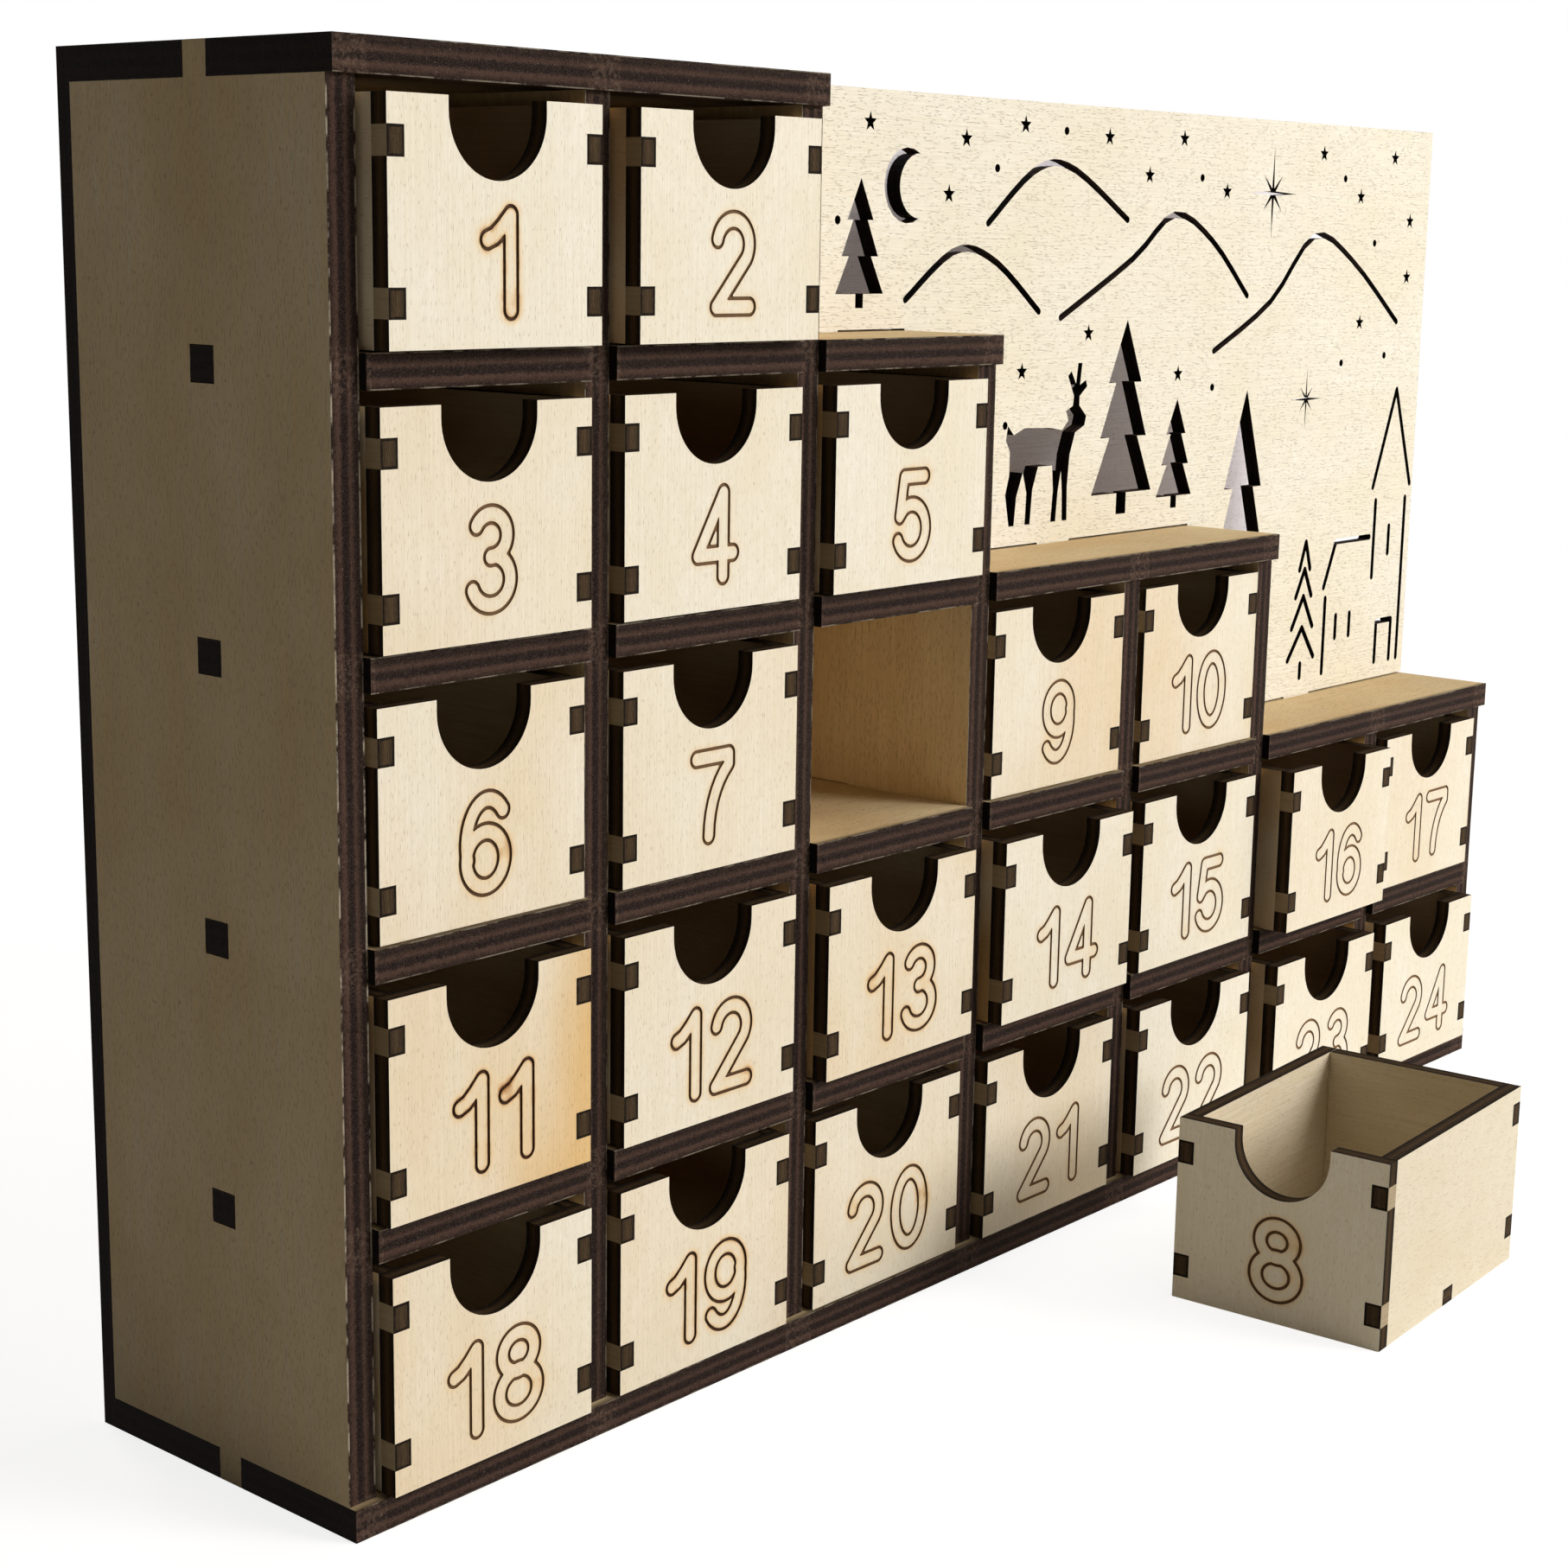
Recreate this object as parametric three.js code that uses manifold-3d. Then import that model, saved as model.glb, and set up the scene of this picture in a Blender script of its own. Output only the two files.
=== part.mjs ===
// Wooden drawer advent calendar: a stepped plywood case with 24 drawers and a cut-out winter scene.
// Millimetres. X runs to the right, Y to the back and Z up, from the centre of the case's underside.
import * as THREE from "three";
import { mergeVertices } from "three/addons/utils/BufferGeometryUtils.js";
import Module from "manifold-3d";

const wasm = await Module();
wasm.setup();

// Plywood: boards for the case, thinner sheet for drawers, back and scene
const boardThick = 5;
const sheetThick = 3;

// Case
const columnOpening = 42.5;
const rowOpening = 36;
const caseDepth = 57.5;
const uprightSetback = 1.5;
const tabLength = 5;
const slotPlay = 0.15;
const cutOverrun = 1;
const lapShare = 0.5;
const rowsPerColumn = [5, 5, 4, 3, 3, 2, 2];

// Drawers
const drawerSideGap = 1.25;
const drawerLift = 0.3;
const drawerHeadroom = 2.2;
const drawerBackGap = 1;
const drawerTabHeight = 4.1;
const frontTabInset = 6.2;
const rearTabDrop = 5;
const rearTabRise = 6.7;
const floorTabLength = 4;
const gluePlay = 0.15;
const fingerWidth = 18.2;
const fingerDepth = 11;
const fingerSteps = 10;

// How far each drawer stands out of the case, as shares of its depth; drawer 8 is taken out
const looseDrawer = 8;
const pulledShares = [
  0.057, 0.064, 0.021, 0.011, 0.027, -0.005, 0.009, 0, -0.012, -0.014, 0.021, 0.018,
  0.035, 0.057, 0.018, 0.099, 0.012, 0.025, 0.007, -0.002, 0.009, 0.032, 0.073, 0.053,
];
const looseDrawerLeft = 160.25;
const looseDrawerAhead = 34.35;
const looseDrawerTurn = THREE.MathUtils.degToRad(-86.1);

// Numbers engraved on the drawer fronts
const numberHeight = 15.3;
const numberMiddle = 11.6;
const numberStroke = 2.5;
const numberGap = 2.2;
const numberDepth = 0.3;
const strokeFacets = 8;
const bowStep = THREE.MathUtils.degToRad(40);

// Scene panel and its cut-outs
const sceneSetback = 21.8;
const sceneLift = 0.35;
const sceneTabWidth = 10.6;
const sceneFoot = 4;
const lineCut = 1.3;
const capSteps = 4;
const hillSteps = 16;
const starPoints = 5;
const starRadius = 1.8;
const starNotch = 0.75;
const dotRadius = 0.8;
const dotSteps = 8;
const rayCount = 8;
const rayRadius = 9.5;
const rayShort = 5.2;
const rayNotch = 1.1;
const smallRayScale = 0.7;
const moonRadius = 6.5;
const moonBite = 5.6;
const moonShift = 3.4;
const moonSteps = 14;
const firWidth = 21;
const firHeight = 38;
const tallFirWidth = 27;
const tallFirHeight = 64;
const saplingWidth = 13;
const saplingHeight = 22;
const deerWidth = 27;
const deerHeight = 30;
const fawnWidth = 19;
const fawnHeight = 20;
const pineWidth = 11;
const pineHeight = 30;
const churchWidth = 34;
const churchHeight = 62;

const boardFinish = new THREE.MeshStandardMaterial({ color: 0xd9c6a2, roughness: 0.7, metalness: 0 });
const sheetFinish = new THREE.MeshStandardMaterial({ color: 0xe8dfc5, roughness: 0.65, metalness: 0 });
const backFinish = new THREE.MeshStandardMaterial({ color: 0xb3a892, roughness: 0.75, metalness: 0 });

// Sizes that follow from the values above
const columns = rowsPerColumn.length;
const rows = Math.max(...rowsPerColumn);
const columnPitch = columnOpening + boardThick;
const rowPitch = rowOpening + boardThick;
const caseWidth = columns * columnPitch + boardThick;
const caseHeight = rows * rowPitch + boardThick;
const midDepth = caseDepth * lapShare;
const tabFront = midDepth - tabLength / 2;
const tabRear = midDepth + tabLength / 2;
const drawerWidth = columnOpening - 2 * drawerSideGap;
const drawerHeight = rowOpening - drawerLift - drawerHeadroom;
const drawerDepth = caseDepth - drawerBackGap;

// Closed geometry as a solid that can be cut and joined, and back
function asSolid(geometry) {
  const bare = geometry.clone();
  bare.deleteAttribute("normal");
  bare.deleteAttribute("uv");
  const merged = mergeVertices(bare);
  return new wasm.Manifold(new wasm.Mesh({
    numProp: 3,
    vertProperties: new Float32Array(merged.attributes.position.array),
    triVerts: new Uint32Array(merged.index.array),
  }));
}

function asGeometry(solid) {
  const { vertProperties, triVerts } = solid.getMesh();
  const geometry = new THREE.BufferGeometry();
  geometry.setAttribute("position", new THREE.BufferAttribute(vertProperties, 3));
  geometry.setIndex(new THREE.BufferAttribute(triVerts, 1));
  geometry.computeVertexNormals();
  return geometry;
}

function extruded(corners, thickness) {
  const shape = new THREE.Shape(corners.map(([x, y]) => new THREE.Vector2(x, y)));
  return new THREE.ExtrudeGeometry(shape, { depth: thickness, bevelEnabled: false });
}

// A flat sheet of an outline of [x, y] corners, cut through along the outlines of its cut-outs
function cutSheet(corners, cutouts, thickness) {
  let sheet = asSolid(extruded(corners, thickness));
  for (const cutout of cutouts) {
    const cutter = extruded(cutout, thickness + 2 * cutOverrun);
    cutter.translate(0, 0, -cutOverrun);
    sheet = sheet.subtract(asSolid(cutter));
  }
  return asGeometry(sheet);
}

function rectangle(left, right, bottom, top) {
  return [[left, bottom], [right, bottom], [right, top], [left, top]];
}

function namedMesh(name, geometry, finish) {
  const mesh = new THREE.Mesh(geometry, finish);
  mesh.name = name;
  return mesh;
}

// Boards lie flat: the outline is drawn in X and Y
function lay(mesh, height) {
  mesh.position.z = height;
  return mesh;
}

// Panels across the case: the outline is drawn in X and Z, and the front face is at the given depth
function standAcross(mesh, front, thickness) {
  mesh.rotation.x = Math.PI / 2;
  mesh.position.y = front + thickness;
  return mesh;
}

// Uprights run front to back: the outline is drawn in Y and Z
function standAlong(mesh, left) {
  mesh.rotation.set(Math.PI / 2, Math.PI / 2, 0);
  mesh.position.x = left;
  return mesh;
}

// How many columns the board at a level covers, and how many levels up an upright reaches
function columnsUnder(level) {
  return rowsPerColumn.filter((count) => count >= level).length;
}

function reachOf(upright) {
  return rowsPerColumn[Math.max(upright - 1, 0)];
}

// The steps: what the boards leave free on the right of the tallest columns
const steps = [];
for (let column = 0; column < columns; column += 1) {
  const top = rowsPerColumn[column] * rowPitch + boardThick;
  const last = steps[steps.length - 1];
  if (rowsPerColumn[column] === rows) {
    continue;
  }
  if (last && last.top === top) {
    last.right = (column + 1) * columnPitch + boardThick;
  } else {
    steps.push({ left: column * columnPitch + boardThick, right: (column + 1) * columnPitch + boardThick, top });
  }
}
const sceneLeft = steps[0].left;
const sceneBottom = steps[steps.length - 1].top;
const sceneWidth = caseWidth - sceneLeft;
const sceneHeight = caseHeight - sceneBottom;

function middleOf({ left, right }) {
  return (left + right) / 2;
}

// Tab slot in a board: open at the board's end, or closed
const slotFront = tabFront - slotPlay;
const slotRear = tabRear + slotPlay;

function board(level) {
  const covered = columnsUnder(level);
  const step = steps.find(({ top }) => top === level * rowPitch + boardThick);
  const isShelf = level > 0 && level < rows;
  const endsUnderWall = covered === columns && reachOf(columns) > level && level > 0;
  const left = isShelf ? boardThick : 0;
  const lastUpright = covered * columnPitch;
  const right = endsUnderWall ? lastUpright : lastUpright + boardThick;

  // Front edge, with a lap slot over every upright that runs on above the board
  const corners = [[left, 0]];
  const mortises = [];
  for (let upright = 1; upright < covered; upright += 1) {
    const slotLeft = upright * columnPitch - slotPlay;
    const slotRight = upright * columnPitch + boardThick + slotPlay;
    if (isShelf && reachOf(upright) > level) {
      corners.push([slotLeft, 0], [slotLeft, midDepth], [slotRight, midDepth], [slotRight, 0]);
    } else {
      mortises.push(rectangle(slotLeft, slotRight, slotFront, slotRear));
    }
  }
  corners.push([right, 0]);
  if (step) {
    const half = sceneTabWidth / 2 + slotPlay;
    const rear = sceneSetback + sheetThick + slotPlay;
    mortises.push(rectangle(middleOf(step) - half, middleOf(step) + half, sceneSetback - slotPlay, rear));
  }

  // Right end: a tab through the right wall, or an open slot for the last upright's tab
  if (endsUnderWall) {
    const tip = right + boardThick;
    corners.push([right, tabFront], [tip, tabFront], [tip, tabRear], [right, tabRear]);
  } else {
    const bed = lastUpright - slotPlay;
    corners.push([right, slotFront], [bed, slotFront], [bed, slotRear], [right, slotRear]);
  }
  corners.push([right, caseDepth], [left, caseDepth]);

  // Left end: a tab through the left panel, or an open slot for its tab
  if (isShelf) {
    corners.push([left, tabRear], [0, tabRear], [0, tabFront], [left, tabFront]);
  } else {
    const bed = boardThick + slotPlay;
    corners.push([left, slotRear], [bed, slotRear], [bed, slotFront], [left, slotFront]);
  }
  return cutSheet(corners, mortises, boardThick);
}

function upright(index) {
  const reach = reachOf(index);
  const foot = boardThick;
  const head = reach * rowPitch;
  const front = uprightSetback;

  // Up the front, over the head with its tab, down the rear with the lap slots, and the foot tab
  const corners = [[front, foot], [tabFront, foot], [tabFront, 0], [tabRear, 0], [tabRear, foot]];
  corners.push([caseDepth, foot]);
  const mortises = [];
  for (let level = 1; level < reach; level += 1) {
    const slotBottom = level * rowPitch - slotPlay;
    const slotTop = level * rowPitch + boardThick + slotPlay;
    if (index > 0 && columnsUnder(level) > index) {
      const bed = midDepth - slotPlay;
      corners.push([caseDepth, slotBottom], [bed, slotBottom], [bed, slotTop], [caseDepth, slotTop]);
    } else {
      mortises.push(rectangle(slotFront, slotRear, slotBottom, slotTop));
    }
  }
  const tip = head + boardThick;
  corners.push([caseDepth, head], [tabRear, head], [tabRear, tip], [tabFront, tip], [tabFront, head]);
  corners.push([front, head]);
  return cutSheet(corners, mortises, boardThick);
}

// Scene panel: stands on the steps, to the right of the tallest columns
// Silhouettes as shares of their width and height, from the left foot
const firHalfShares = [
  [0.08, 0], [0.08, 0.11], [0.5, 0.11], [0.23, 0.4], [0.38, 0.4], [0.15, 0.68], [0.27, 0.68],
];
const deerShares = [
  [0.1, 0], [0.16, 0], [0.18, 0.18], [0.25, 0.33], [0.3, 0.2], [0.29, 0], [0.35, 0], [0.37, 0.22],
  [0.43, 0.36], [0.6, 0.36], [0.62, 0.2], [0.6, 0], [0.66, 0], [0.68, 0.2], [0.71, 0.32], [0.73, 0.18],
  [0.74, 0], [0.8, 0], [0.79, 0.22], [0.81, 0.42], [0.87, 0.56], [0.98, 0.6], [1, 0.66], [0.91, 0.73],
  [0.91, 0.79], [1, 0.85], [0.98, 0.89], [0.91, 0.86], [0.93, 1], [0.88, 1], [0.86, 0.87], [0.8, 0.95],
  [0.76, 0.92], [0.84, 0.79], [0.83, 0.73], [0.75, 0.7], [0.78, 0.64], [0.71, 0.58], [0.55, 0.6],
  [0.26, 0.61], [0.13, 0.57], [0.06, 0.63], [0.04, 0.54], [0.09, 0.47], [0.09, 0.32], [0.05, 0.2],
];
// Drawings in thin lines: each is a list of lines through points, open below so that nothing drops out
const churchLines = [
  [[0, 0], [0, 0.27]], [[-0.03, 0.31], [0.1, 0.47], [0.54, 0.47]],
  [[0.15, 0.12], [0.15, 0.2]], [[0.33, 0.12], [0.33, 0.2]],
  [[0.6, 0.32], [0.6, 0.6]], [[1, 0], [1, 0.6]], [[0.55, 0.65], [0.8, 1], [1.05, 0.65]],
  [[0.7, 0], [0.7, 0.15], [0.9, 0.15], [0.9, 0]], [[0.8, 0.4], [0.8, 0.5]],
];
const pineLines = [
  [[0.5, 0], [0.5, 0.1]], [[0, 0.14], [0.5, 0.37], [1, 0.14]],
  [[0.1, 0.37], [0.5, 0.6], [0.9, 0.37]], [[0.2, 0.6], [0.5, 0.8], [0.8, 0.6]], [[0.3, 0.8], [0.5, 1], [0.7, 0.8]],
];

// Places across and up the scene, as shares of its width and height above the lowest step
const starShares = [
  [0.155, 0.955], [0.27, 0.94], [0.25, 0.86], [0.345, 0.965], [0.46, 0.955], [0.52, 0.9], [0.57, 0.96],
  [0.64, 0.88], [0.8, 0.95], [0.87, 0.88], [0.93, 0.95], [0.965, 0.84], [0.965, 0.74], [0.44, 0.655],
  [0.35, 0.6], [0.88, 0.66], [0.575, 0.585],
];
const dotShares = [
  [0.12, 0.82], [0.31, 0.9], [0.4, 0.96], [0.6, 0.9], [0.84, 0.91], [0.9, 0.8], [0.33, 0.52], [0.5, 0.62],
  [0.63, 0.56], [0.93, 0.6], [0.85, 0.59],
];
const rayStarShare = [0.715, 0.88];
const smallRayStarShare = [0.79, 0.53];
const moonShare = [0.2, 0.87];
const hillShares = [
  [[0.2, 0.71], [0.26, 0.78], [0.31, 0.765], [0.37, 0.69]],
  [[0.3, 0.82], [0.36, 0.9], [0.41, 0.905], [0.49, 0.83]],
  [[0.4, 0.68], [0.5, 0.77], [0.56, 0.84], [0.62, 0.8], [0.68, 0.71]],
  [[0.63, 0.62], [0.72, 0.7], [0.79, 0.81], [0.86, 0.77], [0.95, 0.66]],
];

// What stands on each step, with its place as a share of the step's length
const standing = [
  { step: 0, share: 0.73, shares: mirrored(firHalfShares), width: saplingWidth, height: saplingHeight },
  { step: 1, share: 0.13, shares: deerShares, width: fawnWidth, height: fawnHeight },
  { step: 1, share: 0.46, shares: deerShares, width: deerWidth, height: deerHeight },
  { step: 1, share: 0.74, shares: mirrored(firHalfShares), width: firWidth, height: firHeight },
  { step: 1, share: 0.94, shares: mirrored(firHalfShares), width: saplingWidth, height: saplingHeight },
  { step: 2, share: 0.22, shares: mirrored(firHalfShares), width: tallFirWidth, height: tallFirHeight },
];
const drawn = [
  { step: 2, share: 0.51, lines: pineLines, width: pineWidth, height: pineHeight },
  { step: 2, share: 0.79, lines: churchLines, width: churchWidth, height: churchHeight },
];

function mirrored(halfShares) {
  const right = halfShares.map(([x, y]) => [0.5 + x, y]);
  const left = halfShares.map(([x, y]) => [0.5 - x, y]).reverse();
  return [...right, [0.5, 1], ...left];
}

function starOutline(x, y, radii) {
  return radii.map((radius, index) => {
    const angle = Math.PI / 2 + (2 * Math.PI * index) / radii.length;
    return [x + radius * Math.cos(angle), y + radius * Math.sin(angle)];
  });
}

// Long and short rays by turns, with a notch after each
function rayStarOutline(x, y, scale) {
  const radii = Array.from({ length: 2 * rayCount }, (_, index) => {
    const ray = index % 4 ? rayShort : rayRadius;
    return scale * (index % 2 ? rayNotch : ray);
  });
  return starOutline(x, y, radii);
}

// Crescent between two circles that cross at its horns
function moonOutline(x, y) {
  const chordX = (moonRadius ** 2 - moonBite ** 2 + moonShift ** 2) / (2 * moonShift);
  const outerHorn = Math.acos(chordX / moonRadius);
  const innerHorn = Math.acos((chordX - moonShift) / moonBite);
  const outer = arcPoints(x, y, moonRadius, outerHorn, 2 * Math.PI - outerHorn, moonSteps);
  const inner = arcPoints(x + moonShift, y, moonBite, 2 * Math.PI - innerHorn, innerHorn, moonSteps);
  return [...outer, ...inner.slice(1, -1)];
}

function arcPoints(x, y, radius, start, end, steps) {
  return Array.from({ length: steps + 1 }, (_, index) => {
    const angle = start + ((end - start) * index) / steps;
    return [x + radius * Math.cos(angle), y + radius * Math.sin(angle)];
  });
}

// A thin cut of even width along a path, with round ends
function lineOutline(path) {
  const half = lineCut / 2;
  const headings = path.map((point, index) => {
    const from = path[Math.max(index - 1, 0)];
    const to = path[Math.min(index + 1, path.length - 1)];
    return Math.atan2(to[1] - from[1], to[0] - from[0]);
  });
  const offset = ([x, y], angle) => [x + half * Math.cos(angle), y + half * Math.sin(angle)];
  const last = path.length - 1;
  const cap = ([x, y], heading) =>
    arcPoints(x, y, half, heading - Math.PI / 2, heading + Math.PI / 2, capSteps);
  const inner = (side) => path.map((point, index) => offset(point, headings[index] + side)).slice(1, -1);
  return [
    ...cap(path[last], headings[last]), ...inner(Math.PI / 2).reverse(),
    ...cap(path[0], headings[0] + Math.PI), ...inner(-Math.PI / 2),
  ];
}

function hillOutline(points) {
  const curve = new THREE.SplineCurve(points.map(([x, y]) => new THREE.Vector2(x, y)));
  return lineOutline(curve.getPoints(hillSteps).map(({ x, y }) => [x, y]));
}

function scenePanel() {
  // Stepped foot, with a tab down through the board in the middle of each step
  const corners = [];
  for (const step of steps) {
    const foot = step.top + sceneLift;
    const tabLeft = middleOf(step) - sceneTabWidth / 2;
    const tabRight = middleOf(step) + sceneTabWidth / 2;
    const tip = step.top - boardThick;
    corners.push([step.left, foot], [tabLeft, foot], [tabLeft, tip], [tabRight, tip], [tabRight, foot]);
    corners.push([step.right, foot]);
  }
  corners.push([caseWidth, caseHeight], [sceneLeft, caseHeight]);

  const place = ([x, y]) => [sceneLeft + x * sceneWidth, sceneBottom + y * sceneHeight];
  const smallStar = Array.from({ length: 2 * starPoints }, (_, index) => (index % 2 ? starNotch : starRadius));
  const dot = Array.from({ length: dotSteps }, () => dotRadius);
  const cutouts = [
    ...starShares.map((share) => starOutline(...place(share), smallStar)),
    ...dotShares.map((share) => starOutline(...place(share), dot)),
    rayStarOutline(...place(rayStarShare), 1),
    rayStarOutline(...place(smallRayStarShare), smallRayScale),
    moonOutline(...place(moonShare)),
    ...hillShares.map((shares) => hillOutline(shares.map(place))),
  ];
  const standOn = ({ step, share, width, height }) => {
    const { left, right, top } = steps[step];
    const x = left + share * (right - left) - width / 2;
    return ([shareX, shareZ]) => [x + shareX * width, top + sceneFoot + shareZ * height];
  };
  for (const figure of standing) {
    cutouts.push(figure.shares.map(standOn(figure)));
  }
  for (const figure of drawn) {
    for (const line of figure.lines.map((shares) => shares.map(standOn(figure)))) {
      line.slice(1).forEach((end, index) => cutouts.push(lineOutline([line[index], end])));
    }
  }
  return cutSheet(corners, cutouts, sheetThick);
}

// Digits: each has its width as a share of its height, and centre lines as shares of both
const upperBowl = [0.5, 0.765, 0.42, 0.235];
const lowerBowl = [0.5, 0.275, 0.5, 0.275];
const digits = [
  { wide: 0.6, lines: [bow([0.5, 0.5, 0.5, 0.5], 0, 360)] },
  { wide: 0.34, lines: [[[0, 0.74], [0.55, 0.85], [1, 1], [1, 0]]] },
  { wide: 0.58, lines: [[...bow([0.5, 0.72, 0.48, 0.28], 168, -36), [0, 0], [1, 0]]] },
  { wide: 0.58, lines: [bow(upperBowl, 150, -90), bow(lowerBowl, 72, -160)] },
  { wide: 0.62, lines: [[[0.72, 0], [0.72, 1], [0, 0.27], [1, 0.27]]] },
  { wide: 0.58, lines: [[[0.92, 1], [0.2, 1], [0.06, 0.5], ...bow([0.48, 0.32, 0.52, 0.32], 120, -155)]] },
  { wide: 0.58, lines: [bow([0.5, 0.315, 0.5, 0.315], 0, 360), bow([0.56, 0.5, 0.56, 0.5], 44, 200)] },
  { wide: 0.58, lines: [[[0, 1], [1, 1], [0.6, 0.5], [0.4, 0]]] },
  { wide: 0.6, lines: [bow(upperBowl, 0, 360), bow(lowerBowl, 0, 360)] },
  { wide: 0.58, lines: [bow([0.5, 0.685, 0.5, 0.315], 0, 360), bow([0.44, 0.5, 0.44, 0.5], -136, 20)] },
];

function bow([x, y, radiusX, radiusY], fromDegrees, toDegrees) {
  const [from, to] = [fromDegrees, toDegrees].map(THREE.MathUtils.degToRad);
  const parts = Math.ceil(Math.abs(to - from) / bowStep);
  return arcPoints(0, 0, 1, from, to, parts).map(([cos, sin]) => [x + radiusX * cos, y + radiusY * sin]);
}

// A number as a shallow cutter, its foot line on the drawn X axis and centred on the front
function numberCutter(number) {
  const { CrossSection } = wasm;
  const tall = numberHeight - numberStroke;
  const signs = [...String(number)].map((sign) => digits[Number(sign)]);
  const spans = signs.map(({ wide }) => wide * tall + numberStroke);
  const length = spans.reduce((sum, span) => sum + span) + numberGap * (signs.length - 1);
  const dot = CrossSection.circle(numberStroke / 2, strokeFacets);
  const bars = [];
  let left = drawerWidth / 2 - length / 2 + numberStroke / 2;
  signs.forEach(({ wide, lines }, index) => {
    for (const line of lines) {
      const dots = line.map(([x, y]) => dot.translate([left + x * wide * tall, numberMiddle - tall / 2 + y * tall]));
      bars.push(...dots.slice(1).map((end, start) => CrossSection.hull([dots[start], end])));
    }
    left += spans[index] + numberGap;
  });
  const band = CrossSection.union(bars).simplify(numberStroke / 50);
  return band.extrude(numberDepth + cutOverrun).translate([0, 0, sheetThick - numberDepth]);
}

// Drawer panels, finger-jointed; play is left between them on every mating edge
const frontTabs = [frontTabInset, drawerHeight - frontTabInset];
const rearTabs = [rearTabRise, drawerHeight - rearTabDrop];
const drawerMid = drawerDepth / 2;

function fingerNotch() {
  const radius = fingerWidth / 2;
  const centreX = drawerWidth / 2;
  const centreZ = drawerHeight - fingerDepth + radius;
  const rim = [[centreX + radius, drawerHeight]];
  for (let index = 0; index <= fingerSteps; index += 1) {
    const angle = (Math.PI * index) / fingerSteps;
    rim.push([centreX + radius * Math.cos(angle), centreZ - radius * Math.sin(angle)]);
  }
  rim.push([centreX - radius, drawerHeight]);
  return rim;
}

function drawerFront(play, number) {
  const bed = sheetThick + play;
  const half = drawerTabHeight / 2 + play;
  const right = frontTabs.flatMap((z) => [
    [drawerWidth, z - half], [drawerWidth - bed, z - half], [drawerWidth - bed, z + half], [drawerWidth, z + half],
  ]);
  const left = right.map(([x, z]) => [drawerWidth - x, z]).reverse();
  const corners = [
    [0, 0], [drawerWidth, 0], ...right, [drawerWidth, drawerHeight], ...fingerNotch(), [0, drawerHeight], ...left,
  ];
  return asGeometry(asSolid(cutSheet(corners, [], sheetThick)).subtract(numberCutter(number)));
}

function drawerSide(play) {
  const half = drawerTabHeight / 2;
  const front = sheetThick + play;
  const rearBed = drawerDepth - sheetThick - play;
  const floorHalf = floorTabLength / 2 + play;
  const floorBed = sheetThick + play;
  const floorSlot = [
    [drawerMid - floorHalf, 0], [drawerMid - floorHalf, floorBed],
    [drawerMid + floorHalf, floorBed], [drawerMid + floorHalf, 0],
  ];
  const rear = rearTabs.flatMap((z) => [
    [drawerDepth, z - half - play], [rearBed, z - half - play],
    [rearBed, z + half + play], [drawerDepth, z + half + play],
  ]);
  const tabs = [...frontTabs].reverse().flatMap((z) => [
    [front, z + half], [0, z + half], [0, z - half], [front, z - half],
  ]);
  const corners = [
    [front, 0], ...floorSlot, [drawerDepth, 0], ...rear, [drawerDepth, drawerHeight], [front, drawerHeight], ...tabs,
  ];
  return cutSheet(corners, [], sheetThick);
}

function drawerBack(play) {
  const half = drawerTabHeight / 2;
  const right = drawerWidth - sheetThick - play;
  const left = sheetThick + play;
  const rightTabs = rearTabs.flatMap((z) => [
    [right, z - half], [drawerWidth, z - half], [drawerWidth, z + half], [right, z + half],
  ]);
  const leftTabs = rightTabs.map(([x, z]) => [drawerWidth - x, z]).reverse();
  const corners = [[left, 0], [right, 0], ...rightTabs, [right, drawerHeight], [left, drawerHeight], ...leftTabs];
  return cutSheet(corners, [], sheetThick);
}

function drawerBottom(play) {
  const half = floorTabLength / 2;
  const left = sheetThick + play;
  const right = drawerWidth - left;
  const front = sheetThick + play;
  const rear = drawerDepth - front;
  const corners = [
    [left, front], [right, front],
    [right, drawerMid - half], [drawerWidth, drawerMid - half], [drawerWidth, drawerMid + half], [right, drawerMid + half],
    [right, rear], [left, rear],
    [left, drawerMid + half], [0, drawerMid + half], [0, drawerMid - half], [left, drawerMid - half],
  ];
  return cutSheet(corners, [], sheetThick);
}

function drawerPanels(prefix, play, number) {
  const rearFront = drawerDepth - sheetThick;
  return [
    standAcross(namedMesh(`${prefix}_front`, drawerFront(play, number), sheetFinish), 0, sheetThick),
    standAlong(namedMesh(`${prefix}_left_side`, drawerSide(play), sheetFinish), 0),
    standAlong(namedMesh(`${prefix}_right_side`, drawerSide(play), sheetFinish), drawerWidth - sheetThick),
    standAcross(namedMesh(`${prefix}_back`, drawerBack(play), sheetFinish), rearFront, sheetThick),
    lay(namedMesh(`${prefix}_bottom`, drawerBottom(play), sheetFinish), 0),
  ];
}

// Glued panels as one body, in the frame that they are placed in
function glued(meshes) {
  const solids = meshes.map((mesh) => {
    mesh.updateMatrix();
    return asSolid(mesh.geometry.clone().applyMatrix4(mesh.matrix));
  });
  return asGeometry(solids.reduce((body, solid) => body.add(solid)));
}

// The case: boards and uprights lapped into each other, back panel and scene panel
const calendar = new THREE.Group();
calendar.position.set(-caseWidth / 2, -(caseDepth + sheetThick) / 2, 0);

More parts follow.
